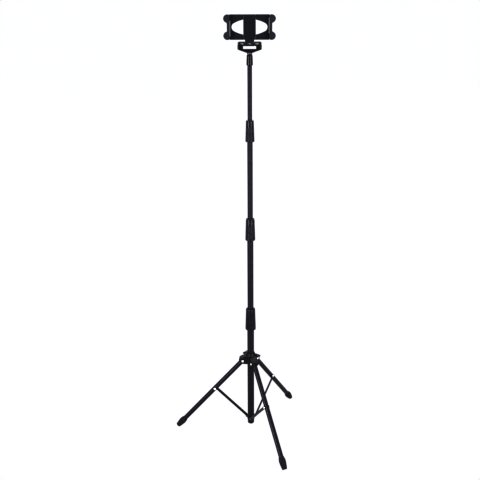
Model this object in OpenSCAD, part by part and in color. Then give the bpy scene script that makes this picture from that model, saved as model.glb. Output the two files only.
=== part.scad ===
// Adjustable tablet floor stand: telescopic pole on a folding tripod, with a sprung tablet holder on top.
// Millimetres, +Z up, origin on the floor under the pole. The holder faces -Y.

/* [Pole] */
// Outside diameter of the lowest and widest pole section
tube_4_d = 23; // [22:0.5:24.5]
// Wall of every pole section
tube_wall = 1; // [0.8:0.1:1.1]
// Free space all round between one section and the next
tube_gap = 0.5; // [0.4:0.1:0.7]
// Length of each section that stays inside the section below
tube_overlap = 62; // [54:1:75]
// Bare length of the third section between its two grips
show_3 = 250; // [200:1:280]
// Bare length of the second section between its two grips
show_2 = 258; // [200:1:280]
// Bare length of the top section below the head socket
show_1 = 170; // [140:1:240]
// Height of the lowest grip above the leg pivots
grip_rise = 122.5; // [122:0.5:150]
// Free space between a guide plug and the tube that it runs in
plug_gap = 0.15; // [0.1:0.05:0.25]

/* [Twist grips] */
// Length of the lowest grip
grip_3_len = 79; // [72:1:90]
// Length of the middle grip
grip_2_len = 76; // [72:1:90]
// Length of the top grip
grip_1_len = 70; // [68:1:84]
// Rubber and core outside the lower tube at the foot of a grip
grip_wall_low = 6.5; // [5.8:0.1:7.5]
// Rubber and core outside the upper tube at the head of a grip
grip_wall_high = 5.8; // [5.2:0.1:6.5]
// Amount by which the top grip is slimmer all round than the others
grip_1_slim = 0.5; // [0:0.1:0.8]
// Number of finger flutes round a grip
flutes = 16; // [10:1:18]
// Depth of one finger flute
flute_depth = 0.5; // [0.3:0.1:0.7]
// Free space between a grip and the collet inside it
grip_gap = 0.35; // [0.3:0.05:0.5]
// Wall of the collet sleeve
collet_wall = 1.8; // [1.5:0.1:2]

/* [Tripod] */
// Azimuth of the first leg, seen from above
leg_az = 174.6; // [0:0.1:359]
// Height of the leg pivots above the floor, legs open
hub_z = 283.5; // [275:0.5:295]
// Angle of an open leg from the pole
leg_angle = 41.1; // [39:0.1:43]
// Distance along a leg from its pivot to its brace rivet
joint_len = 157; // [150:1:160]
// Distance between the two pivots of a brace
brace_len = 161; // [159.5:0.5:167]
// Distance from the wall of the pole to the lower pivot of a brace
clip_reach = 3.5; // [3.5:0.1:5]
// Outside diameter of a leg tube
leg_d = 16; // [14:0.5:17]
// Wall of a leg tube
leg_wall = 1; // [0.8:0.1:1.4]
// Width of a flat brace
brace_w = 9; // [8:0.5:10]
// Thickness of a flat brace
brace_t = 2; // [1.5:0.5:2.5]
// Diameter of the rivet shanks
rivet_d = 5; // [4:0.5:5.5]
// Diameter of the domed rivet heads
rivet_head_d = 9.6; // [8:0.2:10]
// Height of the domed rivet heads
rivet_head_h = 2.2; // [1.8:0.1:2.6]
// Running fit of a rivet in the piece that turns on it
rivet_fit = 0.1; // [0.05:0.05:0.15]
// Free space beside each piece that swings
swing_gap = 0.3; // [0.25:0.05:0.5]
// Largest diameter of a rubber foot
foot_d = 23; // [21:0.5:25]
// Diameter of the flat tip of a rubber foot
foot_tip_d = 16.3; // [15:0.1:18]
// Length of a rubber foot
foot_len = 42; // [38:1:48]

/* [Hub] */
// Wall of the hub collar round the pole
hub_wall = 4.6; // [4:0.1:5.5]
// Free space between the hub and the pole that it slides on
hub_gap = 0.8; // [0.8:0.05:1]
// Free space at each side of a leg in its fork
fork_gap = 0.9; // [0.9:0.05:1.2]
// Free space round the hub rivets in the rear and the front leg
pivot_play = 1.2; // [1.2:0.05:1.5]
// Thickness of one hub cheek beside a leg
cheek_t = 3.3; // [3:0.1:4.5]
// Reach of a hub hood beyond the leg pivot
hood_reach = 13; // [12:0.5:15]
// Height of the hub collar above the leg pivots
hub_top = 32; // [30:1:33]
// Height of the thumb screws above the leg pivots
screw_rise = 19.5; // [18.5:0.5:20.5]
// Shank diameter of a thumb screw
screw_d = 5; // [4:0.5:6]
// Width of a thumb screw wing
wing_w = 20; // [15:0.5:21]
// Thickness of a thumb screw wing
wing_t = 3.4; // [3:0.1:4.5]

/* [Head] */
// Height of the head socket
socket_h = 33; // [30:1:38]
// Largest diameter of the head socket
socket_d = 19.8; // [18.8:0.2:22]
// Diameter of the swivel pin in the socket
pin_d = 10; // [8:0.5:10.5]
// Overall width of the yoke
yoke_w = 75; // [68:1:82]
// Diameter of the hinge barrel on the yoke
barrel_d = 13.4; // [12.6:0.2:14.4]
// Width of the holder knuckle between the yoke ears
knuckle_w = 28; // [25:0.5:30]
// Width of each window in the hinge barrel
window_w = 12; // [9:0.5:12]
// Height of the tilt axis above the foot of the yoke
tilt_rise = 26.8; // [25.5:0.1:28.5]

/* [Holder] */
// Height of the holder plates
plate_h = 74.5; // [70:0.5:80]
// Thickness of the sliding plates
plate_t = 4; // [3.5:0.5:4.5]
// Width of the spine between the windows
spine_w = 37.7; // [36:0.1:42]
// Distance from one jaw seam to the other
seam_w = 122; // [118:1:130]
// Overall width of the holder, jaws closed
holder_w = 160; // [156:0.5:168]
// Clear depth between the spine and a jaw lip
tablet_gap = 9; // [7:0.5:11]
// Thickness of a jaw lip
lip_t = 4; // [3:0.5:5]
// Travel of one jaw against its spring
jaw_travel = 22; // [18:1:22]
// Width of the open slit between a sliding plate and its jaw
slit_w = 1; // [0.8:0.1:1.4]

/* [Hidden] */
$fn = 64;
tube_step = 2 * (tube_wall + tube_gap);
tube_3_d = tube_4_d - tube_step;
tube_2_d = tube_3_d - tube_step;
tube_1_d = tube_2_d - tube_step;

grip_3_z = hub_z + grip_rise;
lock_3_z = grip_3_z + grip_3_len / 2;
grip_2_z = grip_3_z + grip_3_len + show_3;
lock_2_z = grip_2_z + grip_2_len / 2;
grip_1_z = grip_2_z + grip_2_len + show_2;
lock_1_z = grip_1_z + grip_1_len / 2;
socket_z = grip_1_z + grip_1_len + show_1;
tube_1_top = socket_z + 0.55 * socket_h;
tube_3_low = lock_3_z - tube_overlap;
tube_2_low = lock_2_z - tube_overlap;
tube_1_low = lock_1_z - tube_overlap;
sleeve_len = 28;
finger_len = 21;
shoulder = 3;

hub_in = tube_4_d / 2 + hub_gap;
hub_out = hub_in + hub_wall;
fork_root = 3.1;
pivot_r = hub_out + leg_d / 2 + fork_root;
rivet_r = rivet_d / 2;
slot_half = leg_d / 2 + fork_gap;
slot_top = leg_d / 2 + swing_gap;
cheek_out = slot_half + cheek_t;
brace_in = leg_d / 2 + swing_gap;
brace_out = brace_in + brace_t;
brace_eye = brace_w / 2 + 1.2;
brace_end = brace_w / 2 + 0.4;
joint_r = pivot_r + joint_len * sin(leg_angle);
joint_z = hub_z - joint_len * cos(leg_angle);
clip_r = tube_4_d / 2 + clip_reach;
brace_angle = asin((joint_r - clip_r) / brace_len);
clip_z = joint_z - brace_len * cos(brace_angle);
clip_h = 12;
clip_wall = 1.6;
lug_side = 5;
cap_h = 8;
bare_end = 11;
tube_4_low = clip_z - clip_h / 2 - bare_end;
foot_cut = 1.6;
floor_w = 3 * (pivot_r + hub_z);
floor_t = foot_len;
tip_z = foot_tip_d / 2 * sin(leg_angle) - foot_cut;
leg_reach = (hub_z - tip_z) / cos(leg_angle);
screw_az = [leg_az - 48, leg_az - 180];
wing_turn = [-10, -22];

yoke_gap = 0.4;
collar_h = 5;
yoke_z = socket_z + socket_h + yoke_gap + collar_h;
tilt_z = yoke_z + tilt_rise;
tilt_bolt_r = 2.5;
yoke_t = barrel_d - 0.6;
yoke_round = 5;
window_x = knuckle_w / 2 + 9.3;
bolt_seat = 6.2;
bolt_sunk = 2.4;
plate_low = tilt_z + barrel_d / 2 + 5.8;
mid_z = plate_low + plate_h / 2;
plate_mid = [0, 0, mid_z];
channel = plate_t / 2 + 0.3;
spine_front = channel + 3.7;
spine_back = channel + 4.7;
spine_bevel = 1;
lip_in = spine_front + tablet_gap;
lip_out = lip_in + lip_t;
jaw_back = plate_t / 2 + 1.2;
seam = seam_w / 2;
wall_in = seam + 5;
lobe_r = 12;
hollow_r = 4;
waist = seam + 8.2;
frame_edge = 5.5;
rail_h = 3.8;
rail_2 = plate_h / 2 - frame_edge - 0.2 - rail_h;
rail_1 = rail_2 - 0.6 - rail_h;
tab_h = plate_h - 13;
rail_end = spine_w / 2 - 3.8;
spring_z = rail_1 - 3.6;
spring_r = 2;
stop_x = spine_w / 2 - 2.8;
lug_t = 3;
slit_h = 0.62 * plate_h;
slit_drop = 4.5;

// Frames of the tripod: X points outward along the leg, Y is across it
module leg_plane(i) {
    rotate([0, 0, leg_az - 120 * i])
        children();
}

module on_leg(i) {
    leg_plane(i)
        translate([pivot_r, 0, hub_z])
            rotate([0, -leg_angle, 0])
                children();
}

module on_brace(i) {
    leg_plane(i)
        translate([clip_r, 0, clip_z])
            rotate([0, brace_angle, 0])
                children();
}

module on_screw(i) {
    rotate([0, 0, screw_az[i]])
        translate([0, 0, hub_z + screw_rise])
            children();
}

// A flat shape drawn in X and Z, given thickness from y_0 to y_1
module across(y_0, y_1) {
    translate([0, y_1, 0])
        rotate([90, 0, 0])
            linear_extrude(height = y_1 - y_0)
                children();
}

module bar_y(r, y_0, y_1) {
    translate([0, y_1, 0])
        rotate([90, 0, 0])
            cylinder(r = r, h = y_1 - y_0);
}

module bar_x(r, x_0, x_1) {
    translate([x_0, 0, 0])
        rotate([0, 90, 0])
            cylinder(r = r, h = x_1 - x_0);
}

module dome(y, side) {
    r = rivet_head_d / 2;
    h = rivet_head_h;
    ball = (r * r + h * h) / (2 * h);
    intersection() {
        translate([0, y - side * (ball - h), 0])
            sphere(r = ball);
        translate([-r - 1, side > 0 ? y : y - h - 1, -r - 1])
            cube([2 * r + 2, h + 1, 2 * r + 2]);
    }
}

module rivet(y_0, y_1) {
    union() {
        bar_y(rivet_r, y_0 - 0.6, y_1 + 0.6);
        dome(y_1, 1);
        dome(y_0, -1);
    }
}

module pipe(d, wall, z_0, z_1) {
    translate([0, 0, z_0])
        difference() {
            cylinder(r = d / 2, h = z_1 - z_0);
            translate([0, 0, -1])
                cylinder(r = d / 2 - wall, h = z_1 - z_0 + 2);
        }
}

// Pole sections
module tube_4() {
    color("dimgray")
        pipe(tube_4_d, tube_wall, tube_4_low, lock_3_z);
}

module tube_3() {
    color("dimgray")
        pipe(tube_3_d, tube_wall, tube_3_low, lock_2_z);
}

module tube_2() {
    color("dimgray")
        pipe(tube_2_d, tube_wall, tube_2_low, lock_1_z);
}

module tube_1() {
    color("dimgray")
        pipe(tube_1_d, tube_wall, tube_1_low, tube_1_top);
}

module tube_cap() {
    r = tube_4_d / 2;
    stem = r - tube_wall;
    color("black")
        translate([0, 0, tube_4_low])
            rotate_extrude()
                polygon([[0, -cap_h], [r - 4.2, -cap_h], [r - 2.2, -cap_h + 0.9], [r - 0.7, -cap_h + 2.6],
                    [r, -cap_h + 5], [r, 0], [stem, 0], [stem, 11], [stem - 1, 12], [stem - 2, 12],
                    [stem - 2, -2], [0, -2]]);
}

module guide_plug(outer_d, inner_d, z) {
    run = outer_d / 2 - tube_wall - plug_gap;
    stem = inner_d / 2 - tube_wall;
    translate([0, 0, z])
        rotate_extrude()
            polygon([[stem - 1.6, -10], [run - 0.8, -10], [run, -9], [run, -1], [run - 0.2, 0], [stem, 0],
                [stem, 11], [stem - 1.6, 11]]);
}

module guide_plug_3() {
    color("white")
        guide_plug(tube_4_d, tube_3_d, tube_3_low);
}

module guide_plug_2() {
    color("white")
        guide_plug(tube_3_d, tube_2_d, tube_2_low);
}

module guide_plug_1() {
    color("white")
        guide_plug(tube_2_d, tube_1_d, tube_1_low);
}

// Split collet: a sleeve on the lower tube and four fingers round the upper tube
module collet(lower_d, upper_d, z) {
    r = lower_d / 2;
    inside = upper_d / 2 + grip_gap;
    outside = r + collet_wall;
    nose = upper_d / 2 + 2.2;
    top = shoulder + finger_len;
    translate([0, 0, z])
        difference() {
            rotate_extrude()
                polygon([[r, -sleeve_len], [outside, -sleeve_len], [outside, shoulder], [nose, top],
                    [inside, top], [inside, 0], [r, 0]]);
            for (k = [0 : 1])
                rotate([0, 0, 45 + 90 * k])
                    translate([-outside - 2, -0.6, shoulder + 2])
                        cube([2 * outside + 4, 1.2, finger_len]);
        }
}

module collet_3() {
    color("gray")
        collet(tube_4_d, tube_3_d, lock_3_z);
}

module collet_2() {
    color("gray")
        collet(tube_3_d, tube_2_d, lock_2_z);
}

module collet_1() {
    color("gray")
        collet(tube_2_d, tube_1_d, lock_1_z);
}

// Twist grip: a tapered fluted sleeve that turns on the collet
module grip(lower_d, upper_d, z, len, slim = 0) {
    low = lower_d / 2 + grip_wall_low - slim;
    high = upper_d / 2 + grip_wall_high - slim;
    half = len / 2;
    taper = atan((low - high) / len);
    bore = lower_d / 2 + collet_wall + grip_gap;
    nose = upper_d / 2 + 2.2 + grip_gap;
    ring_z = len - 20;
    ring_r = low - (low - high) * ring_z / len;
    translate([0, 0, z])
        difference() {
            rotate_extrude()
                polygon([[lower_d / 2 + 0.45, 0], [low - 2.4, 0], [low - 0.8, 0.9], [low, 2.8],
                    [ring_r, ring_z - 0.8], [ring_r - 0.8, ring_z - 0.4], [ring_r - 0.8, ring_z + 0.4],
                    [ring_r, ring_z + 0.8], [high, len - 3], [high - 0.8, len - 1], [high - 2.2, len],
                    [upper_d / 2 + 0.45, len], [upper_d / 2 + 0.45, half + shoulder + finger_len + 1.5],
                    [nose, half + shoulder + finger_len + 0.6], [bore, half + shoulder + 0.3],
                    [bore, half - sleeve_len - 0.6], [lower_d / 2 + 0.45, half - sleeve_len - 1.6]]);
            for (k = [0 : flutes - 1])
                rotate([0, 0, 360 * k / flutes])
                    translate([low + 1.6 - flute_depth - 6 * tan(taper), 0, 6])
                        rotate([0, -taper, 0])
                            cylinder(r = 1.6, h = ring_z - 10);
        }
}

module grip_3() {
    color("black")
        grip(tube_4_d, tube_3_d, grip_3_z, grip_3_len);
}

module grip_2() {
    color("black")
        grip(tube_3_d, tube_2_d, grip_2_z, grip_2_len);
}

module grip_1() {
    color("black")
        grip(tube_2_d, tube_1_d, grip_1_z, grip_1_len, grip_1_slim);
}

// Ring at the foot of the pole: one lug for each brace, cut clear where the brace turns
module brace_clip() {
    r = tube_4_d / 2;
    lug = brace_w / 2 + 0.2;
    side = leg_d / 2;
    deep = side + 7;
    swing = brace_end + swing_gap;
    color("black")
        difference() {
            union() {
                translate([0, 0, clip_z - clip_h / 2])
                    cylinder(r = r + clip_wall, h = clip_h);
                for (i = [0 : 2])
                    leg_plane(i)
                        translate([0, 0, clip_z])
                            across(-side, lug_side - side)
                                union() {
                                    translate([r / 2, -lug])
                                        square([clip_r - r / 2, 2 * lug]);
                                    translate([clip_r, 0])
                                        circle(r = lug);
                                }
            }
            translate([0, 0, clip_z - clip_h])
                cylinder(r = r, h = 2 * clip_h);
            for (i = [0 : 2])
                leg_plane(i)
                    translate([clip_r, 0, clip_z]) {
                        bar_y(rivet_r, -deep, lug_side - side);
                        across(-deep, -side)
                            union() {
                                circle(r = swing);
                                translate([-swing, 0])
                                    square([2 * swing, clip_h]);
                            }
                    }
        }
}

// Rivets with one domed head, flush at the inner face of the lug
module clip_rivets() {
    head = -brace_out - swing_gap;
    color("silver")
        for (i = [0 : 2])
            leg_plane(i)
                translate([clip_r, 0, clip_z])
                    union() {
                        bar_y(rivet_r, head - 0.6, lug_side - leg_d / 2);
                        dome(head, -1);
                    }
}

// Flat steel strip from the ring to the middle of a leg
module brace(i) {
    color("dimgray")
        on_brace(i)
            difference() {
                across(-brace_out, -brace_in)
                    union() {
                        translate([-brace_w / 2, 0])
                            square([brace_w, brace_len]);
                        circle(r = brace_end);
                        translate([0, brace_len])
                            circle(r = brace_eye);
                    }
                bar_y(rivet_r + rivet_fit, -30, 30);
                translate([0, 0, brace_len])
                    bar_y(rivet_r + rivet_fit, -30, 30);
            }
}

module brace_left() {
    brace(0);
}

module brace_rear() {
    brace(1);
}

module brace_front() {
    brace(2);
}

// Leg tube, rounded about its pivot at the top
module leg(i) {
    r = leg_d / 2;
    bottom = leg_reach - 10;
    play = i == 0 ? rivet_fit : pivot_play;
    color("dimgray")
        on_leg(i)
            difference() {
                union() {
                    translate([0, 0, -bottom])
                        cylinder(r = r, h = bottom);
                    intersection() {
                        cylinder(r = r, h = r + 1);
                        bar_y(r - 0.05, -r - 1, r + 1);
                    }
                }
                translate([0, 0, -bottom - 1])
                    cylinder(r = r - leg_wall, h = bottom + 1 - r);
                bar_y(rivet_r + play, -r - 1, r + 1);
                translate([0, 0, -joint_len])
                    bar_y(rivet_r, -r - 1, r + 1);
            }
}

module leg_left() {
    leg(0);
}

module leg_rear() {
    leg(1);
}

module leg_front() {
    leg(2);
}

module leg_rivet(i) {
    color("silver")
        on_leg(i)
            translate([0, 0, -joint_len])
                rivet(-brace_out - swing_gap, leg_d / 2);
}

module leg_rivet_left() {
    leg_rivet(0);
}

module leg_rivet_rear() {
    leg_rivet(1);
}

module leg_rivet_front() {
    leg_rivet(2);
}

// Rubber foot: a bulb on the leg end with a flat tip, cut level by the floor
module foot(i) {
    r = leg_d / 2;
    tip = foot_tip_d / 2;
    big = foot_d / 2;
    len = foot_len;
    color("black")
        difference() {
            on_leg(i)
                translate([0, 0, -leg_reach])
                    rotate_extrude()
                        polygon([[0, 0], [tip - 0.8, 0], [tip, 0.8], [tip + 0.5 * (big - tip), 0.26 * len],
                            [tip + 0.86 * (big - tip), 0.46 * len], [big, 0.6 * len], [big, 0.7 * len],
                            [big - 0.5, 0.8 * len], [big - 1.5, 0.88 * len], [r + 1.3, len - 1.2],
                            [r + 0.5, len], [r, len], [r, 10], [0, 10]]);
            translate([-floor_w / 2, -floor_w / 2, -floor_t])
                cube([floor_w, floor_w, floor_t]);
        }
}

module foot_left() {
    foot(0);
}

module foot_rear() {
    foot(1);
}

module foot_front() {
    foot(2);
}

// Hub: bell collar, three hooded forks for the legs and two bosses for the thumb screws
module hub() {
    top = hub_top;
    end = pivot_r + hood_reach;
    round_end = 9.5;
    root = hub_in / 2;
    color("black")
        difference() {
            translate([0, 0, hub_z])
                union() {
                    rotate_extrude()
                        polygon([[0, -round_end], [hub_out, -round_end], [hub_out, 12],
                            [hub_out + 0.8, 20], [hub_out + 0.7, top - 11], [hub_out - 0.3, top - 7],
                            [hub_out - 2.2, top - 3], [hub_in + 1.6, top], [0, top]]);
                    for (i = [0 : 2])
                        leg_plane(i)
                            difference() {
                                across(-cheek_out, cheek_out)
                                    union() {
                                        polygon([[root, -round_end], [pivot_r, -round_end],
                                            [pivot_r + round_end, 0], [end, 3], [end, 7.4],
                                            [end - 1.4, 9], [pivot_r + 4, 13.4], [hub_out + 3, 19],
                                            [root, 23]]);
                                        translate([pivot_r, 0])
                                            circle(r = round_end);
                                    }
                                across(-slot_half, slot_half)
                                    polygon([[hub_out + 0.1, -30], [end + 20, -30], [end + 20, 0.8],
                                        [end, 0.8], [pivot_r + 6, slot_top], [hub_out + 0.1, slot_top]]);
                                translate([pivot_r, 0, 0])
                                    bar_y(rivet_r, -40, 40);
                            }
                    for (i = [0 : 1])
                        rotate([0, 0, screw_az[i]])
                            translate([0, 0, screw_rise])
                                bar_x(5.6, hub_in + 2, hub_out + 6);
                }
            translate([0, 0, hub_z - 2 * hub_top])
                cylinder(r = hub_in, h = 4 * hub_top);
            for (i = [0 : 1])
                on_screw(i)
                    bar_x(screw_d / 2 + 0.1, 0, hub_out + 40);
        }
}

module hub_rivets() {
    color("silver")
        for (i = [0 : 2])
            leg_plane(i)
                translate([pivot_r, 0, hub_z])
                    rivet(-cheek_out, cheek_out);
}

// Thumb screw: plated shank with a flange, and the wing that is moulded on it
module screw(i) {
    seat = hub_out + 6 + swing_gap;
    color("silver")
        on_screw(i)
            union() {
                bar_x(screw_d / 2, hub_in + 0.1, seat + 8);
                bar_x(screw_d / 2 + 2.2, seat, seat + 2);
            }
}

module wing(i) {
    seat = hub_out + 6 + swing_gap + 2;
    color("black")
        on_screw(i)
            rotate([wing_turn[i], 0, 0])
                difference() {
                    union() {
                        bar_x(4.4, seat, seat + 4.4);
                        translate([0, 0, -wing_t / 2])
                            linear_extrude(height = wing_t)
                                union() {
                                    translate([seat + 2, -wing_w / 2 + 2])
                                        square([7.4, wing_w - 4]);
                                    translate([seat + 4, -wing_w / 2])
                                        square([3.4, wing_w]);
                                    for (y = [-1, 1])
                                        for (x = [4, 7.4])
                                            translate([seat + x, y * (wing_w / 2 - 2)])
                                                circle(r = 2);
                                }
                    }
                    bar_x(screw_d / 2, seat - 1, seat + 6);
                }
}

module screw_rear() {
    screw(0);
}

module wing_rear() {
    wing(0);
}

module screw_side() {
    screw(1);
}

module wing_side() {
    wing(1);
}

// Window in the front of the hinge barrel, through which the tilt bolt shows
module hinge_window(x) {
    translate([x - window_w / 2, -barrel_d, tilt_z - tilt_bolt_r - 0.1])
        cube([window_w, barrel_d, 2 * tilt_bolt_r + 0.2]);
}

// Head: socket on the top section, swivel pin, yoke and tilt bolt
module socket() {
    r = socket_d / 2;
    tube = tube_1_d / 2;
    pin = pin_d / 2 + 0.1;
    step = tube_1_top - socket_z;
    color("black")
        translate([0, 0, socket_z])
            rotate_extrude()
                polygon([[tube, 0], [r - 1.6, 0], [r - 0.4, 1], [r, 2.6], [r, 9], [r - 0.8, socket_h - 3],
                    [r - 1.3, socket_h - 1], [r - 2.4, socket_h], [pin, socket_h], [pin, step],
                    [tube, step]]);
}

module swivel_pin() {
    r = pin_d / 2;
    neck = barrel_d / 2 + 1.3;
    color("silver")
        translate([0, 0, yoke_z])
            rotate_extrude()
                polygon([[0, -collar_h - yoke_gap - 11], [r - 1, -collar_h - yoke_gap - 11],
                    [r, -collar_h - yoke_gap - 10], [r, -collar_h], [neck - 0.8, -collar_h],
                    [neck, -collar_h + 0.8], [neck, 0], [4, 0], [4, 7], [0, 7]]);
}

// Outline of the yoke seen from the front, with rounded shoulders
module yoke_outline() {
    half = yoke_w / 2;
    neck = barrel_d / 2 + 1.3;
    hip = tilt_rise - barrel_d / 2 - 10.4;
    crown = tilt_rise + barrel_d / 2;
    round = 6;
    union() {
        polygon([[-neck, 0], [neck, 0], [half - 1.6, hip], [half, hip + 2], [half, crown - round],
            [half - round, crown], [-half + round, crown], [-half, crown - round], [-half, hip + 2],
            [-half + 1.6, hip]]);
        for (side = [-1, 1])
            translate([side * (half - round), crown - round])
                circle(r = round);
    }
}

// Plan of the yoke, rounded at its two ends
module yoke_plan() {
    half = yoke_w / 2;
    deep = barrel_d / 2;
    union() {
        translate([yoke_round - half, -deep])
            square([2 * half - 2 * yoke_round, 2 * deep]);
        translate([-half, yoke_round - deep])
            square([2 * half, 2 * deep - 2 * yoke_round]);
        for (x = [yoke_round - half, half - yoke_round])
            for (y = [yoke_round - deep, deep - yoke_round])
                translate([x, y])
                    circle(r = yoke_round);
    }
}

module yoke() {
    half = yoke_w / 2;
    ear_in = knuckle_w / 2 + 0.5;
    post_in = knuckle_w / 2 + 6.5;
    base = tilt_rise - barrel_d / 2 - 8.7;
    t = yoke_t / 2;
    color("black")
        difference() {
            translate([0, 0, yoke_z])
                difference() {
                    intersection() {
                        union() {
                            across(-t, t)
                                difference() {
                                    translate([-half, 0])
                                        square([2 * half, tilt_rise]);
                                    translate([-post_in, base])
                                        square([2 * post_in, tilt_rise]);
                                }
                            for (side = [0, 180])
                                rotate([0, 0, side])
                                    translate([0, 0, tilt_rise])
                                        bar_x(barrel_d / 2, ear_in, half);
                        }
                        across(-barrel_d, barrel_d)
                            yoke_outline();
                        translate([0, 0, -1])
                            linear_extrude(height = 2 * tilt_rise)
                                yoke_plan();
                    }
                    translate([0, 0, -1])
                        cylinder(r = 4, h = 8);
                    translate([0, 0, tilt_rise]) {
                        bar_x(tilt_bolt_r, -half - 1, half + 1);
                        bar_x(4.6, half - bolt_seat, half + 1);
                        bar_x(4.6, -half - 1, -half + bolt_seat);
                    }
                }
            for (side = [-1, 1])
                hinge_window(side * window_x);
        }
}

module tilt_bolt() {
    half = yoke_w / 2;
    color("silver")
        translate([0, 0, tilt_z])
            difference() {
                union() {
                    bar_x(tilt_bolt_r, -half + 3, half - bolt_sunk);
                    bar_x(4.3, -half + bolt_sunk, -half + bolt_seat);
                }
                translate([bolt_sunk - half - 1, 0, 0])
                    rotate([0, 90, 0])
                        cylinder(r = 2.3, h = 3.2, $fn = 6);
            }
}

module tilt_nut() {
    half = yoke_w / 2;
    color("silver")
        translate([half - bolt_seat, 0, tilt_z])
            rotate([0, 90, 0])
                difference() {
                    cylinder(r = 4.4, h = 3.4, $fn = 6);
                    translate([0, 0, -1])
                        cylinder(r = tilt_bolt_r, h = 6);
                }
}

// Holder: spine shell with the tilt knuckle, ribbed cover, two sprung slides with jaws
module spine_back_shell() {
    w = spine_w / 2;
    h = plate_h / 2;
    k = knuckle_w / 2;
    inner = h - frame_edge;
    color("black")
        difference() {
            union() {
                translate(plate_mid)
                    difference() {
                        translate([-w, -channel, -h])
                            cube([2 * w, channel + spine_back, 2 * h]);
                        translate([-w - 1, -channel - 1, -inner])
                            cube([2 * w + 2, 2 * channel + 1, 2 * inner]);
                        for (x = [-1, 1])
                            translate([x * (w - spine_bevel), spine_back - spine_bevel, -h - 1])
                                rotate([0, 0, x * 45])
                                    translate([x > 0 ? 0.4 : -0.4 - channel, -channel, 0])
                                        cube([channel, 2 * channel, 2 * h + 2]);
                    }
                translate(plate_mid)
                    for (turn = [0, 180])
                        rotate([0, turn, 0])
                            translate([-w, -channel, spring_z - 2.6])
                                cube([w - stop_x, 2 * channel + 0.5, 5.2]);
                translate([-k, -4.6, tilt_z])
                    cube([2 * k, 9.2, plate_low - tilt_z]);
                translate([-k, -channel, tilt_z])
                    cube([2 * k, channel + 4.6, plate_low - tilt_z + 2]);
                translate([0, 0, tilt_z])
                    bar_x(barrel_d / 2, -k, k);
            }
            translate([0, 0, tilt_z])
                bar_x(tilt_bolt_r + 0.1, -k - 1, k + 1);
            hinge_window(0);
            spine_screw_set(0);
        }
}

module spine_cover() {
    w = spine_w / 2;
    h = plate_h / 2;
    color("black")
        difference() {
            translate(plate_mid)
                difference() {
                    translate([-w, -spine_front, -h])
                        cube([2 * w, spine_front - channel, 2 * h]);
                    for (k = [-3 : 3])
                        translate([k * 4.2 - 0.6, -spine_front - 1, -h + 5])
                            cube([1.2, 1.7, 2 * h - 10]);
                }
            spine_screw_set(0);
        }
}

// Four screws that hold the cover on the shell
module spine_screw_set(grow) {
    for (x = [-1, 1])
        for (z = [-1, 1])
            translate([x * (spine_w / 2 - 5), 0, mid_z + z * (plate_h / 2 - 2.75)])
                union() {
                    bar_y(1.3 + grow, -channel - 2.4, spine_back - 0.5);
                    bar_y(2.2 + grow, spine_back - 1.6, spine_back);
                }
}

module spine_screws() {
    color("silver")
        spine_screw_set(0);
}

// Oval of the two windows, made of four arcs
module window_oval() {
    a = seam - 5.4;
    b = plate_h / 2 - 13.3;
    small = 0.56 * b;
    c = a - small;
    big = (c * c + b * b - small * small) / (2 * (b - small));
    cut = c + small * c / (big - small);
    union() {
        intersection() {
            translate([0, b - big])
                circle(r = big);
            translate([0, big - b])
                circle(r = big);
            translate([-cut, -b - 1])
                square([2 * cut, 2 * b + 2]);
        }
        for (x = [-c, c])
            translate([x, 0])
                circle(r = small);
    }
}

module slide() {
    h = plate_h / 2;
    root = spine_w / 2 + swing_gap;
    across(-plate_t / 2, plate_t / 2)
        union() {
            difference() {
                union() {
                    translate([-seam - 0.2, -h])
                        square([seam + 0.2 - root, 2 * h]);
                    translate([-seam - 4, -tab_h / 2])
                        square([8, tab_h]);
                }
                window_oval();
                translate([0.2 - seam, -slit_h / 2 - slit_drop])
                    square([slit_w, slit_h]);
            }
            translate([-root - 1, rail_1])
                square([root + 1 + rail_end, rail_h]);
            translate([-root - 1, -rail_2 - rail_h])
                square([root + 1 + rail_end, rail_h]);
            translate([rail_end - lug_t, spring_z - 3])
                square([lug_t, rail_1 - spring_z + 4]);
        }
}

module slide_left() {
    color("black")
        translate(plate_mid)
            slide();
}

module slide_right() {
    color("black")
        translate(plate_mid)
            rotate([0, 180, 0])
                slide();
}

// Outline of a jaw: two lobes that run into a narrow waist through a hollow curve
module jaw_outline() {
    h = plate_h / 2;
    lobe_x = holder_w / 2 - lobe_r;
    lobe_z = h - lobe_r;
    hollow_x = waist + hollow_r;
    hollow_z = lobe_z - sqrt(pow(lobe_r + hollow_r, 2) - pow(hollow_x - lobe_x, 2));
    difference() {
        union() {
            translate([-waist, -h + 3])
                square([waist - seam, 2 * h - 6]);
            polygon([[-seam, h - 4.5], [-seam - 2.6, h - 0.6], [-lobe_x, h], [-lobe_x, lobe_z],
                [-hollow_x, hollow_z], [-hollow_x, -hollow_z], [-lobe_x, -lobe_z], [-lobe_x, -h],
                [-seam - 2.6, -h + 0.6], [-seam, -h + 4.5]]);
            for (z = [-lobe_z, lobe_z])
                translate([-lobe_x, z])
                    circle(r = lobe_r);
        }
        translate([-seam, -h - 1])
            square([seam, 2 * h + 2]);
        translate([-hollow_x - 1, -hollow_z])
            square([hollow_r + 1, 2 * hollow_z]);
        for (z = [-hollow_z, hollow_z])
            translate([-hollow_x, z])
                circle(r = hollow_r);
    }
}

// Jaw: bone-shaped end with a back, a side wall and a front lip
module jaw() {
    h = plate_h / 2;
    difference() {
        across(-lip_out, jaw_back)
            jaw_outline();
        translate([-wall_in, -lip_in, -h - 1])
            cube([wall_in, lip_in - jaw_back, 2 * h + 2]);
        translate([-seam - 4, -plate_t / 2, -tab_h / 2])
            cube([20, plate_t, tab_h]);
        translate([-seam - 0.2, -plate_t / 2, -h - 1])
            cube([20, plate_t, 2 * h + 2]);
    }
}

module jaw_left() {
    color("black")
        translate(plate_mid)
            jaw();
}

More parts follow.
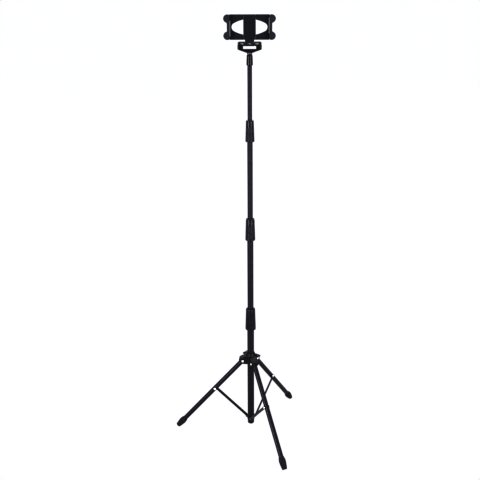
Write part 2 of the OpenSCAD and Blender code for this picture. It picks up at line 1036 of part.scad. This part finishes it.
module jaw_right() {
    color("black")
        translate(plate_mid)
            rotate([0, 180, 0])
                jaw();
}

module pad() {
    translate([-wall_in, -lip_in + 0.6, -10])
        cube([1.2, lip_in - jaw_back - 1.2, 20]);
}

module pad_left() {
    color("gray")
        translate(plate_mid)
            pad();
}

module pad_right() {
    color("gray")
        translate(plate_mid)
            rotate([0, 180, 0])
                pad();
}

// Return spring between a stop in the spine and the lug of a slide
module spring() {
    translate([-stop_x, 0, spring_z])
        rotate([0, 90, 0])
            difference() {
                cylinder(r = spring_r, h = stop_x + rail_end - lug_t);
                translate([0, 0, -1])
                    cylinder(r = spring_r - 0.6, h = stop_x + rail_end + 2);
            }
}

module spring_left() {
    color("silver")
        translate(plate_mid)
            spring();
}

module spring_right() {
    color("silver")
        translate(plate_mid)
            rotate([0, 180, 0])
                spring();
}

tube_4();
tube_cap();
brace_clip();
clip_rivets();
collet_3();
grip_3();
tube_3();
guide_plug_3();
collet_2();
grip_2();
tube_2();
guide_plug_2();
collet_1();
grip_1();
tube_1();
guide_plug_1();
hub();
hub_rivets();
screw_rear();
wing_rear();
screw_side();
wing_side();
leg_left();
leg_rear();
leg_front();
foot_left();
foot_rear();
foot_front();
leg_rivet_left();
leg_rivet_rear();
leg_rivet_front();
brace_left();
brace_rear();
brace_front();
socket();
swivel_pin();
yoke();
tilt_bolt();
tilt_nut();
spine_back_shell();
spine_cover();
spine_screws();
slide_left();
slide_right();
jaw_left();
jaw_right();
pad_left();
pad_right();
spring_left();
spring_right();
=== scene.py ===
"""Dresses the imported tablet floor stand: finishes, springs, screws, pads, studio and camera."""
import math

import bmesh
import bpy
from mathutils import Matrix, Vector


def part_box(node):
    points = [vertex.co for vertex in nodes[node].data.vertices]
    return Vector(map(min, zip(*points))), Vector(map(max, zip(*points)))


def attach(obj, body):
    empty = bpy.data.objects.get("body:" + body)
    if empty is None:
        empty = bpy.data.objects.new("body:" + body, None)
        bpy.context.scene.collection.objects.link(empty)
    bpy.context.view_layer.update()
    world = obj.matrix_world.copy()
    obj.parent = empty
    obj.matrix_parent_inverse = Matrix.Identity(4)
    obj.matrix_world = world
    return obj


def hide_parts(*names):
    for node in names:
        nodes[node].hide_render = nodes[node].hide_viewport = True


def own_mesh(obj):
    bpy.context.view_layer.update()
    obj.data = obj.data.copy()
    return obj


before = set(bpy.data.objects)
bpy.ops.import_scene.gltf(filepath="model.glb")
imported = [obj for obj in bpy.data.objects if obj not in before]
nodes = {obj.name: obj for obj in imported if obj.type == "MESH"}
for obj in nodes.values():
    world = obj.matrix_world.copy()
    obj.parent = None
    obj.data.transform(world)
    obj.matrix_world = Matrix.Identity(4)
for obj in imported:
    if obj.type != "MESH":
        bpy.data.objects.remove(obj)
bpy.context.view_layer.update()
MM = 0.001
SHARP = math.radians(40)  # an edge that turns by more than this is a corner of the piece

# The Mix node's colour sockets share their names with its other kinds, so they go by number
MIX_A, MIX_B, MIX_RESULT = 6, 7, 2

# Tones of the coat and of the plastic where handling has rubbed them
RUBBED_COAT = "#2e2d33"
RUBBED_ABS = "#2a2a2d"


# Finishes

def linear(hex_colour):
    """An sRGB hex value as linear RGBA."""
    channels = [int(hex_colour[i:i + 2], 16) / 255 for i in (1, 3, 5)]
    return [c / 12.92 if c <= 0.04045 else ((c + 0.055) / 1.055) ** 2.4 for c in channels] + [1]


def per_mm(size):
    """The texture scale whose pattern repeats about every size in mm."""
    return 1 / (size * MM)


def add(tree, kind, inputs=None, **settings):
    """Adds a node, sets it up, and fills or links its inputs: a link is a (node, output) pair."""
    made = tree.nodes.new(kind)
    for name, value in settings.items():
        setattr(made, name, value)
    for name, value in (inputs or {}).items():
        if isinstance(value, tuple) and isinstance(value[0], bpy.types.Node):
            tree.links.new(value[0].outputs[value[1]], made.inputs[name])
        else:
            made.inputs[name].default_value = value
    return made


def start(name):
    """A material with an empty node tree, and that tree."""
    material = bpy.data.materials.new(name)
    material.use_nodes = True
    material.node_tree.nodes.clear()
    return material, material.node_tree


def close(tree, **sockets):
    """Ends a material's tree in its shader."""
    shader = add(tree, "ShaderNodeBsdfPrincipled",
                 {name.replace("_", " "): value for name, value in sockets.items()})
    add(tree, "ShaderNodeOutputMaterial", {"Surface": (shader, "BSDF")})


def worn_edges(tree, reach_mm):
    """1 where an edge is rubbed, 0 on the flats: the rounded and the true normal part at an edge."""
    flat, rubbed = 0.995, 0.86  # cosine between the two normals
    bare = add(tree, "ShaderNodeNewGeometry")
    rounded = add(tree, "ShaderNodeBevel", {"Radius": reach_mm * MM}, samples=4)
    agree = add(tree, "ShaderNodeVectorMath", {0: (rounded, "Normal"), 1: (bare, "Normal")},
                operation="DOT_PRODUCT")
    return add(tree, "ShaderNodeMapRange",
               {"Value": (agree, "Value"), "From Min": flat, "From Max": rubbed, "To Min": 0, "To Max": 1})


def powder_coat(name, dark, light, along, rough):
    """Powder-coated steel: satin black with a cool cast, an orange peel, paler rub marks and edges."""
    mark_share = 0.35  # share of a worn edge's paleness that a rub mark gets
    material, tree = start(name)
    place = add(tree, "ShaderNodeTexCoord")
    # Orange peel is about 0.5 mm across; drawn at 1.5 mm so that it shows
    peel = add(tree, "ShaderNodeTexNoise",
               {"Vector": (place, "Object"), "Scale": per_mm(1.5), "Detail": 2, "Roughness": 0.5})
    drift = add(tree, "ShaderNodeTexNoise",
                {"Vector": (place, "Object"), "Scale": per_mm(70), "Detail": 2, "Roughness": 0.5})
    # Rub marks of 0.8 mm, which along pulls out
    pulled = add(tree, "ShaderNodeMapping", {"Vector": (place, "Object"), "Scale": along})
    rub = add(tree, "ShaderNodeTexNoise",
              {"Vector": (pulled, "Vector"), "Scale": per_mm(0.8), "Detail": 3, "Roughness": 0.6})
    marks = add(tree, "ShaderNodeMapRange",
                {"Value": (rub, "Fac"), "From Min": 0.58, "From Max": 0.74, "To Min": 0, "To Max": 1})
    edge = worn_edges(tree, 0.5)
    tone = add(tree, "ShaderNodeMix",
               {"Factor": (drift, "Fac"), MIX_A: linear(dark), MIX_B: linear(light)},
               data_type="RGBA")
    rubbed = add(tree, "ShaderNodeMath", {0: (marks, "Result"), 1: mark_share, 2: (edge, "Result")},
                 operation="MULTIPLY_ADD", use_clamp=True)
    colour = add(tree, "ShaderNodeMix",
                 {"Factor": (rubbed, "Value"), MIX_A: (tone, MIX_RESULT), MIX_B: linear(RUBBED_COAT)},
                 data_type="RGBA")
    sheen = add(tree, "ShaderNodeMapRange",
                {"Value": (rub, "Fac"), "From Min": 0.3, "From Max": 0.7, "To Min": rough[1],
                 "To Max": rough[0]})
    relief = add(tree, "ShaderNodeBump",
                 {"Height": (peel, "Fac"), "Strength": 0.4, "Distance": 0.05 * MM})
    close(tree, Base_Color=(colour, MIX_RESULT), Roughness=(sheen, "Result"),
          Normal=(relief, "Normal"), IOR=1.5)
    return material


def spark_moulded_abs(name, dark, light, rough):
    """ABS from a spark-eroded tool: black with an even fine matt, edges rubbed smoother by handling."""
    edge_gloss = -0.12  # what handling takes off the roughness of an edge
    material, tree = start(name)
    place = add(tree, "ShaderNodeTexCoord")
    # The tool's grain is about 0.15 mm; drawn at 0.7 mm so that it shows
    grain = add(tree, "ShaderNodeTexNoise",
                {"Vector": (place, "Object"), "Scale": per_mm(0.7), "Detail": 3, "Roughness": 0.6})
    # Flow of the plastic in the mould: soft cloudy bands some 25 mm wide
    flow = add(tree, "ShaderNodeTexNoise",
               {"Vector": (place, "Object"), "Scale": per_mm(25), "Detail": 1, "Distortion": 1.2})
    edge = worn_edges(tree, 0.7)
    tone = add(tree, "ShaderNodeMix",
               {"Factor": (flow, "Fac"), MIX_A: linear(dark), MIX_B: linear(light)},
               data_type="RGBA")
    colour = add(tree, "ShaderNodeMix",
                 {"Factor": (edge, "Result"), MIX_A: (tone, MIX_RESULT), MIX_B: linear(RUBBED_ABS)},
                 data_type="RGBA")
    matt = add(tree, "ShaderNodeMapRange",
               {"Value": (grain, "Fac"), "From Min": 0.3, "From Max": 0.7, "To Min": rough[0],
                "To Max": rough[1]})
    sheen = add(tree, "ShaderNodeMath", {0: (edge, "Result"), 1: edge_gloss, 2: (matt, "Result")},
                operation="MULTIPLY_ADD")
    relief = add(tree, "ShaderNodeBump",
                 {"Height": (grain, "Fac"), "Strength": 0.45, "Distance": 0.05 * MM})
    close(tree, Base_Color=(colour, MIX_RESULT), Roughness=(sheen, "Value"),
          Normal=(relief, "Normal"), IOR=1.53)
    return material


def polished_abs():
    """ABS from a polished tool: deep black, sharp highlights that waver with the sink of the walls."""
    material, tree = start("polished_abs")
    place = add(tree, "ShaderNodeTexCoord")
    sink = add(tree, "ShaderNodeTexNoise",
               {"Vector": (place, "Object"), "Scale": per_mm(9), "Detail": 1, "Roughness": 0.4})
    # Hairlines from wiping, about 0.3 mm apart; drawn at 0.8 mm so that they show
    lain = add(tree, "ShaderNodeMapping", {"Vector": (place, "Object"), "Scale": (0.06, 1, 1)})
    wipe = add(tree, "ShaderNodeTexNoise",
               {"Vector": (lain, "Vector"), "Scale": per_mm(0.8), "Detail": 2, "Roughness": 0.6})
    colour = add(tree, "ShaderNodeMix",
                 {"Factor": (sink, "Fac"), MIX_A: linear("#08080a"), MIX_B: linear("#0f0f12")},
                 data_type="RGBA")
    sheen = add(tree, "ShaderNodeMapRange",
                {"Value": (wipe, "Fac"), "From Min": 0.35, "From Max": 0.75, "To Min": 0.16,
                 "To Max": 0.27})
    relief = add(tree, "ShaderNodeBump",
                 {"Height": (sink, "Fac"), "Strength": 0.25, "Distance": 0.12 * MM})
    close(tree, Base_Color=(colour, MIX_RESULT), Roughness=(sheen, "Result"),
          Normal=(relief, "Normal"), IOR=1.53)
    return material


def moulded_rubber(name, dark, light, rough):
    """Moulded rubber: greyer than the plastic and dull, with a bloom that lightens it in patches."""
    material, tree = start(name)
    place = add(tree, "ShaderNodeTexCoord")
    # Pores of about 0.2 mm; drawn at 0.6 mm so that they show
    pores = add(tree, "ShaderNodeTexVoronoi", {"Vector": (place, "Object"), "Scale": per_mm(0.6)})
    bloom = add(tree, "ShaderNodeTexNoise",
                {"Vector": (place, "Object"), "Scale": per_mm(14), "Detail": 4, "Roughness": 0.6})
    patch = add(tree, "ShaderNodeMapRange",
                {"Value": (bloom, "Fac"), "From Min": 0.35, "From Max": 0.68, "To Min": 0, "To Max": 1})
    colour = add(tree, "ShaderNodeMix",
                 {"Factor": (patch, "Result"), MIX_A: linear(dark), MIX_B: linear(light)},
                 data_type="RGBA")
    sheen = add(tree, "ShaderNodeMapRange",
                {"Value": (patch, "Result"), "To Min": rough[0], "To Max": rough[1]})
    relief = add(tree, "ShaderNodeBump",
                 {"Height": (pores, "Distance"), "Strength": 0.35, "Distance": 0.06 * MM})
    close(tree, Base_Color=(colour, MIX_RESULT), Roughness=(sheen, "Result"),
          Normal=(relief, "Normal"), IOR=1.52)
    return material


def nickel_plate(name, dark, light, rough):
    """Nickel plate over steel: warm white when new, grey when dulled, tumbled so that highlights spread."""
    material, tree = start(name)
    place = add(tree, "ShaderNodeTexCoord")
    # Tumbling dents of about 0.3 mm; drawn at 0.6 mm so that they show
    dents = add(tree, "ShaderNodeTexNoise",
                {"Vector": (place, "Object"), "Scale": per_mm(0.6), "Detail": 2, "Roughness": 0.5})
    tarnish = add(tree, "ShaderNodeTexNoise",
                  {"Vector": (place, "Object"), "Scale": per_mm(5), "Detail": 3, "Roughness": 0.6})
    colour = add(tree, "ShaderNodeMix",
                 {"Factor": (tarnish, "Fac"), MIX_A: linear(dark), MIX_B: linear(light)},
                 data_type="RGBA")
    sheen = add(tree, "ShaderNodeMapRange",
                {"Value": (tarnish, "Fac"), "From Min": 0.3, "From Max": 0.7, "To Min": rough[1],
                 "To Max": rough[0]})
    relief = add(tree, "ShaderNodeBump",
                 {"Height": (dents, "Fac"), "Strength": 0.3, "Distance": 0.03 * MM})
    close(tree, Base_Color=(colour, MIX_RESULT), Metallic=1, Roughness=(sheen, "Result"),
          Normal=(relief, "Normal"))
    return material


def moulded_nylon():
    """Natural nylon, moulded: milky and a little soft at the edges, with faint knit lines."""
    material, tree = start("moulded_nylon")
    place = add(tree, "ShaderNodeTexCoord")
    knit = add(tree, "ShaderNodeTexNoise",
               {"Vector": (place, "Object"), "Scale": per_mm(6), "Detail": 3, "Distortion": 0.8})
    colour = add(tree, "ShaderNodeMix",
                 {"Factor": (knit, "Fac"), MIX_A: linear("#bdbab0"), MIX_B: linear("#d9d7cf")},
                 data_type="RGBA")
    sheen = add(tree, "ShaderNodeMapRange", {"Value": (knit, "Fac"), "To Min": 0.36, "To Max": 0.56})
    relief = add(tree, "ShaderNodeBump",
                 {"Height": (knit, "Fac"), "Strength": 0.2, "Distance": 0.08 * MM})
    close(tree, Base_Color=(colour, MIX_RESULT), Roughness=(sheen, "Result"),
          Normal=(relief, "Normal"), IOR=1.53)
    return material


def drawn_spring_wire():
    """Spring wire, drawn and oiled: grey steel with die marks along the wire and a brown cast in places."""
    material, tree = start("drawn_spring_wire")
    place = add(tree, "ShaderNodeTexCoord")
    # Die marks are finer than 0.1 mm; drawn at 0.4 mm so that they show
    marks = add(tree, "ShaderNodeTexNoise",
                {"Vector": (place, "Object"), "Scale": per_mm(0.4), "Detail": 2, "Roughness": 0.6})
    oil = add(tree, "ShaderNodeTexNoise",
              {"Vector": (place, "Object"), "Scale": per_mm(3), "Detail": 2, "Roughness": 0.5})
    colour = add(tree, "ShaderNodeMix",
                 {"Factor": (oil, "Fac"), MIX_A: linear("#6a625a"), MIX_B: linear("#8f9093")},
                 data_type="RGBA")
    sheen = add(tree, "ShaderNodeMapRange", {"Value": (marks, "Fac"), "To Min": 0.22, "To Max": 0.46})
    relief = add(tree, "ShaderNodeBump",
                 {"Height": (marks, "Fac"), "Strength": 0.25, "Distance": 0.02 * MM})
    close(tree, Base_Color=(colour, MIX_RESULT), Metallic=1, Roughness=(sheen, "Result"),
          Normal=(relief, "Normal"))
    return material


# Rub marks run some 40 mm along the upright pole; on the leaning legs and braces they are flecks of
# 2 to 4 mm
UPRIGHT = (1, 1, 0.02)
LEANING = (0.35, 0.35, 0.2)
pole_coat = powder_coat("powder_coated_tube", "#191820", "#212029", along=UPRIGHT, rough=(0.42, 0.52))
leg_coat = powder_coat("powder_coated_leg_tube", "#17161c", "#1e1d24", along=LEANING, rough=(0.33, 0.42))
strip_coat = powder_coat("powder_coated_strip", "#161617", "#1d1d1f", along=LEANING, rough=(0.33, 0.42))
spine_abs = spark_moulded_abs("spark_moulded_abs", "#13151b", "#181923", rough=(0.38, 0.5))
hub_abs = spark_moulded_abs("spark_moulded_hub_abs", "#0f0f11", "#161618", rough=(0.42, 0.54))
gloss_abs = polished_abs()
grip_rubber = moulded_rubber("moulded_grip_rubber", "#181720", "#201f2a", rough=(0.27, 0.36))
jaw_rubber = moulded_rubber("moulded_jaw_rubber", "#25262c", "#2d2e35", rough=(0.48, 0.6))
foot_rubber = moulded_rubber("moulded_foot_rubber", "#19191b", "#222224", rough=(0.6, 0.74))
rivet_plate = nickel_plate("nickel_plated_rivet", "#dcd8d0", "#f4f2ee", rough=(0.36, 0.5))
clip_plate = nickel_plate("dull_nickel_plated_rivet", "#5a5a5d", "#747377", rough=(0.45, 0.6))
bolt_plate = nickel_plate("nickel_plated_bolt", "#dad8d4", "#f0eeeb", rough=(0.46, 0.58))
screw_plate = nickel_plate("nickel_plated_screw", "#77777a", "#97969a", rough=(0.3, 0.42))
pin_plate = nickel_plate("nickel_plated_pin", "#59585b", "#706f72", rough=(0.4, 0.5))
lock_nylon = moulded_nylon()
spring_wire = drawn_spring_wire()

# Which finish each solid wears; some solids are shown by finer pieces further down, in the same finish
DRESS = {
    pole_coat: ["tube_4", "tube_3", "tube_2", "tube_1"],
    leg_coat: ["leg_left", "leg_rear", "leg_front"],
    strip_coat: ["brace_left", "brace_rear", "brace_front"],
    hub_abs: ["hub", "brace_clip", "tube_cap"],
    spine_abs: ["spine_back_shell", "spine_cover", "slide_left", "slide_right"],
    gloss_abs: ["socket", "yoke", "wing_rear", "wing_side"],
    grip_rubber: ["grip_3", "grip_2", "grip_1"],
    jaw_rubber: ["jaw_left", "jaw_right", "pad_left", "pad_right"],
    foot_rubber: ["foot_left", "foot_rear", "foot_front"],
    clip_plate: ["clip_rivets"],
    rivet_plate: ["hub_rivets", "leg_rivet_left", "leg_rivet_rear", "leg_rivet_front"],
    bolt_plate: ["tilt_bolt", "tilt_nut"],
    screw_plate: ["spine_screws"],
    pin_plate: ["swivel_pin", "screw_rear", "screw_side"],
    lock_nylon: ["guide_plug_3", "guide_plug_2", "guide_plug_1", "collet_3", "collet_2", "collet_1"],
    spring_wire: ["spring_left", "spring_right"],
}
for material, names in DRESS.items():
    for name in names:
        mesh = nodes[name].data
        mesh.materials.clear()
        mesh.materials.append(material)

# Rounded edges on the moulded pieces and the strips, in mm
EDGE_ROUND = {"hub": 0.8, "brace_clip": 0.5, "yoke": 0.5, "spine_back_shell": 0.6, "spine_cover": 0.25,
              "slide_left": 0.4, "slide_right": 0.4, "jaw_left": 1.2, "jaw_right": 1.2, "wing_rear": 0.6,
              "wing_side": 0.6, "brace_left": 0.3, "brace_rear": 0.3, "brace_front": 0.3}
EDGE_SEGMENTS = 3
for name, size in EDGE_ROUND.items():
    bevel = nodes[name].modifiers.new("edge_round", "BEVEL")
    bevel.width = size * MM
    bevel.segments = EDGE_SEGMENTS
    bevel.limit_method = "ANGLE"
    bevel.angle_limit = SHARP


# Pieces that the solids only hold the room for


def piece(name, bm, material, body, slot, *stands_for):
    """Turns a finished bmesh into a piece that rides on a body and stands for CAD nodes."""
    mesh = bpy.data.meshes.new(name)
    bmesh.ops.recalc_face_normals(bm, faces=bm.faces)
    for edge in bm.edges:
        edge.smooth = edge.calc_face_angle(0) < SHARP
    bm.to_mesh(mesh)
    bm.free()
    mesh.materials.append(material)
    made = bpy.data.objects.new(name, mesh)
    bpy.context.scene.collection.objects.link(made)
    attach(made, body)
    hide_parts(*stands_for)
    return made


def skin(bm, rings):
    """Joins rings of vertices into a tube and shuts its two ends."""
    for near, far in zip(rings, rings[1:]):
        for i in range(len(near)):
            j = (i + 1) % len(near)
            face = bm.faces.new((near[i], near[j], far[j], far[i]))
            face.smooth = True
    bm.faces.new(rings[0])
    bm.faces.new(rings[-1])


def coil(low, high):
    """A return spring: eight open turns of 0.7 mm wire that fill the room from low to high along X."""
    turns, steps, sides = 8, 28, 8
    wire = 0.35 * MM  # half the wire's thickness
    centre = (low + high) / 2
    radius = (high.z - low.z) / 2 - wire
    length = high.x - low.x - 2 * wire
    bm = bmesh.new()
    rings = []
    for k in range(turns * steps + 1):
        turn = 2 * math.pi * k / steps
        out = Vector((0, math.cos(turn), math.sin(turn)))
        x = low.x + wire + length * k / (turns * steps)
        middle = Vector((x, centre.y, centre.z)) + radius * out
        ring = []
        for s in range(sides):
            a = 2 * math.pi * s / sides
            round_wire = math.cos(a) * out + math.sin(a) * Vector((1, 0, 0))
            ring.append(bm.verts.new(middle + wire * round_wire))
        rings.append(ring)
    skin(bm, rings)
    return bm


def ribbed_pad(low, high, wall, face):
    """A grip pad: seven soft ribs across the tablet's edge on a thin base, rounded off at both ends."""
    ribs, per_rib = 7, 10
    base, fade = 0.45 * MM, 0.9 * MM
    end_share = 0.35  # thickness left at the very ends
    crest_power = 0.7  # under 1, so that the crests are broader than the grooves
    rounding = ((0, 0), (0.2 * fade, 0.55), (0.5 * fade, 0.86), (fade, 1))  # way in from an end, fullness
    rise = (face - wall) / abs(face - wall)
    height = abs(face - wall) - base
    depth = high.y - low.y
    bm = bmesh.new()
    rings = []
    far_end = tuple((depth - y, share) for y, share in reversed(rounding))
    for y, share in rounding + far_end:
        ring = [bm.verts.new((wall, low.y + y, low.z)), bm.verts.new((wall, low.y + y, high.z))]
        for k in range(ribs * per_rib, -1, -1):
            along = k / (ribs * per_rib)
            crest = (0.5 - 0.5 * math.cos(2 * math.pi * ribs * along)) ** crest_power
            x = wall + rise * (base + height * crest) * (end_share + (1 - end_share) * share)
            ring.append(bm.verts.new((x, low.y + y, low.z + (high.z - low.z) * along)))
        rings.append(ring)
    skin(bm, rings)
    return bm


def cross_screw(bm, centre, head_r, shank_r, head_h, length):
    """A cross-recessed screw whose head faces +Y at centre: bevelled rim, tapered recess, plain shank."""
    around = 40
    # The rim's bevel and the recess, wide at its mouth and narrow at its floor, by the head's radius
    rim_bevel = 0.1 * head_r
    mouth_arm, mouth_half = 0.6 * head_r, 0.17 * head_r
    floor_arm, floor_half, recess = 0.36 * head_r, 0.11 * head_r, 0.42 * head_r

    def ring(radius, depth):
        turns = [2 * math.pi * k / around for k in range(around)]
        return [bm.verts.new(centre + Vector((radius * math.cos(a), -depth, radius * math.sin(a))))
                for a in turns]

    def cross(arm, half, depth):
        quarter = [Vector((half, arm)), Vector((-half, arm)), Vector((-half, half))]
        flat = [Vector((c.x * x - c.y * y, c.x * y + c.y * x))
                for x, y in ((1, 0), (0, 1), (-1, 0), (0, -1)) for c in quarter]
        return [bm.verts.new(centre + Vector((c.x, -depth, c.y))) for c in flat]

    def loop_edges(loop):
        return [bm.edges.new((a, b)) for a, b in zip(loop, loop[1:] + loop[:1])]

    def wall(near, far, smooth):
        for i in range(len(near)):
            j = (i + 1) % len(near)
            bm.faces.new((near[i], near[j], far[j], far[i])).smooth = smooth

    face, rim, under = ring(head_r - rim_bevel, 0), ring(head_r, rim_bevel), ring(head_r, head_h)
    neck, tip = ring(shank_r, head_h), ring(shank_r, length)
    mouth, floor_cross = cross(mouth_arm, mouth_half, 0), cross(floor_arm, floor_half, recess)
    bmesh.ops.triangle_fill(bm, use_beauty=True, edges=loop_edges(face) + loop_edges(mouth))
    wall(mouth, floor_cross, False)
    bm.faces.new(floor_cross)
    for near, far in ((face, rim), (rim, under), (under, neck), (neck, tip)):
        wall(near, far, True)
    bm.faces.new(tip)


for side in ("left", "right"):
    node = "spring_" + side
    low, high = (Vector(c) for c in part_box(node))
    spring = piece("coil_" + side, coil(low, high), spring_wire, "holder", "plated_steel", node)
    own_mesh(spring)
    low, high = (Vector(c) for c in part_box("pad_" + side))
    wall, face = (low.x, high.x) if side == "left" else (high.x, low.x)
    piece("ribbed_rubber_" + side, ribbed_pad(low, high, wall, face), jaw_rubber, "jaw_slide_" + side,
          "black_rubber", "pad_" + side)

SCREW_HEAD_R = 2.2 * MM
SCREW_HEAD_H = 1.6 * MM
SCREW_SHANK_R = 1.3 * MM
low, high = (Vector(c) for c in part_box("spine_screws"))
screws = bmesh.new()
for x in (low.x + SCREW_HEAD_R, high.x - SCREW_HEAD_R):
    for z in (low.z + SCREW_HEAD_R, high.z - SCREW_HEAD_R):
        cross_screw(screws, Vector((x, high.y, z)), SCREW_HEAD_R, SCREW_SHANK_R, SCREW_HEAD_H,
                    high.y - low.y)
piece("cross_screws", screws, screw_plate, "holder", "plated_steel", "spine_screws")


# Studio: white floor and walls all round in cool light, two softboxes in front, two behind, one overhead
ROOM_LIGHT = 1.045
ROOM_WHITE = "#fafaff"
LAMP_WHITE = "#f6f6ff"
CLOUDS_PER_METRE = 30  # the paper's fibres cloud it every 33 mm


def floor_paper():
    """White studio paper, so evenly lit that it shows no shadow, only the faint cloud of its fibres."""
    material, tree = start("studio_paper")
    place = add(tree, "ShaderNodeTexCoord")
    fibre = add(tree, "ShaderNodeTexNoise",
                {"Vector": (place, "Object"), "Scale": CLOUDS_PER_METRE, "Detail": 2})
    tone = add(tree, "ShaderNodeMix",
               {"Factor": (fibre, "Fac"), MIX_A: linear(ROOM_WHITE), MIX_B: linear("#fbfbff")},
               data_type="RGBA")
    close(tree, Base_Color=linear("#000000"), Roughness=1, Specular_IOR_Level=0,
          Emission_Color=(tone, MIX_RESULT), Emission_Strength=ROOM_LIGHT)
    return material


FLOOR_HALF = 12  # metres
corners = [(x * FLOOR_HALF, y * FLOOR_HALF, 0) for x, y in ((-1, -1), (1, -1), (1, 1), (-1, 1))]
floor_mesh = bpy.data.meshes.new("studio_floor")
floor_mesh.from_pydata(corners, [], [(0, 1, 2, 3)])
floor_mesh.materials.append(floor_paper())
floor = bpy.data.objects.new("studio_floor", floor_mesh)
bpy.context.scene.collection.objects.link(floor)

world = bpy.data.worlds.new("studio_walls")
world.use_nodes = True
world.node_tree.nodes.clear()
walls = add(world.node_tree, "ShaderNodeBackground",
            {"Color": linear(ROOM_WHITE), "Strength": ROOM_LIGHT})
add(world.node_tree, "ShaderNodeOutputWorld", {"Surface": (walls, "Background")})
bpy.context.scene.world = world
bpy.context.scene.view_settings.view_transform = "Standard"
# A steep tone curve, as in a catalogue print: blacks stay deep in the white room and thin edges keep
# their weight
bpy.context.scene.view_settings.gamma = 0.5


def softbox(name, place, aim, width, height, watts):
    """A flat lamp at place that faces aim, in metres."""
    lamp = bpy.data.lights.new(name, "AREA")
    lamp.shape = "RECTANGLE"
    lamp.size = width
    lamp.size_y = height
    lamp.energy = watts
    lamp.color = linear(LAMP_WHITE)[:3]
    box = bpy.data.objects.new(name, lamp)
    box.location = place
    box.rotation_euler = (Vector(aim) - Vector(place)).to_track_quat("-Z", "Y").to_euler()
    bpy.context.scene.collection.objects.link(box)


softbox("softbox_left", place=(-1.55, -1.75, 0.7), aim=(0, 0, 0.7), width=0.7, height=1.6, watts=47)
softbox("softbox_right", place=(1.55, -1.75, 0.7), aim=(0, 0, 0.7), width=0.7, height=1.5, watts=40)
softbox("softbox_back_left", place=(-1.0, 1.6, 2.6), aim=(0, 0, 0.9), width=0.9, height=1.3, watts=40)
softbox("softbox_back_right", place=(1.0, 1.6, 2.6), aim=(0, 0, 0.9), width=0.9, height=1.3, watts=40)
softbox("softbox_top", place=(0.1, -0.3, 2.9), aim=(0, 0, 0), width=1.2, height=1.2, watts=14)

# Camera at the photograph's viewing angle; the image is IMAGE pixels wide and high
IMAGE = 480
FOCAL_PX = 700
SHIFT_PX = 10.49
SENSOR = 36  # mm
PITCH = math.radians(17.849)
ROLL = math.radians(-0.206)
camera_data = bpy.data.cameras.new("photo_camera")
camera_data.sensor_width = SENSOR
camera_data.lens = SENSOR * FOCAL_PX / IMAGE
# The pole stands right of the middle of the image without being seen from the side
camera_data.shift_x = -SHIFT_PX / IMAGE
camera = bpy.data.objects.new("photo_camera", camera_data)
camera.location = (0.00065, -2.252, 1.4606)
turn = Matrix.Rotation(math.pi / 2 - PITCH, 4, "X") @ Matrix.Rotation(ROLL, 4, "Z")
camera.rotation_euler = turn.to_euler()
bpy.context.scene.collection.objects.link(camera)
bpy.context.scene.camera = camera
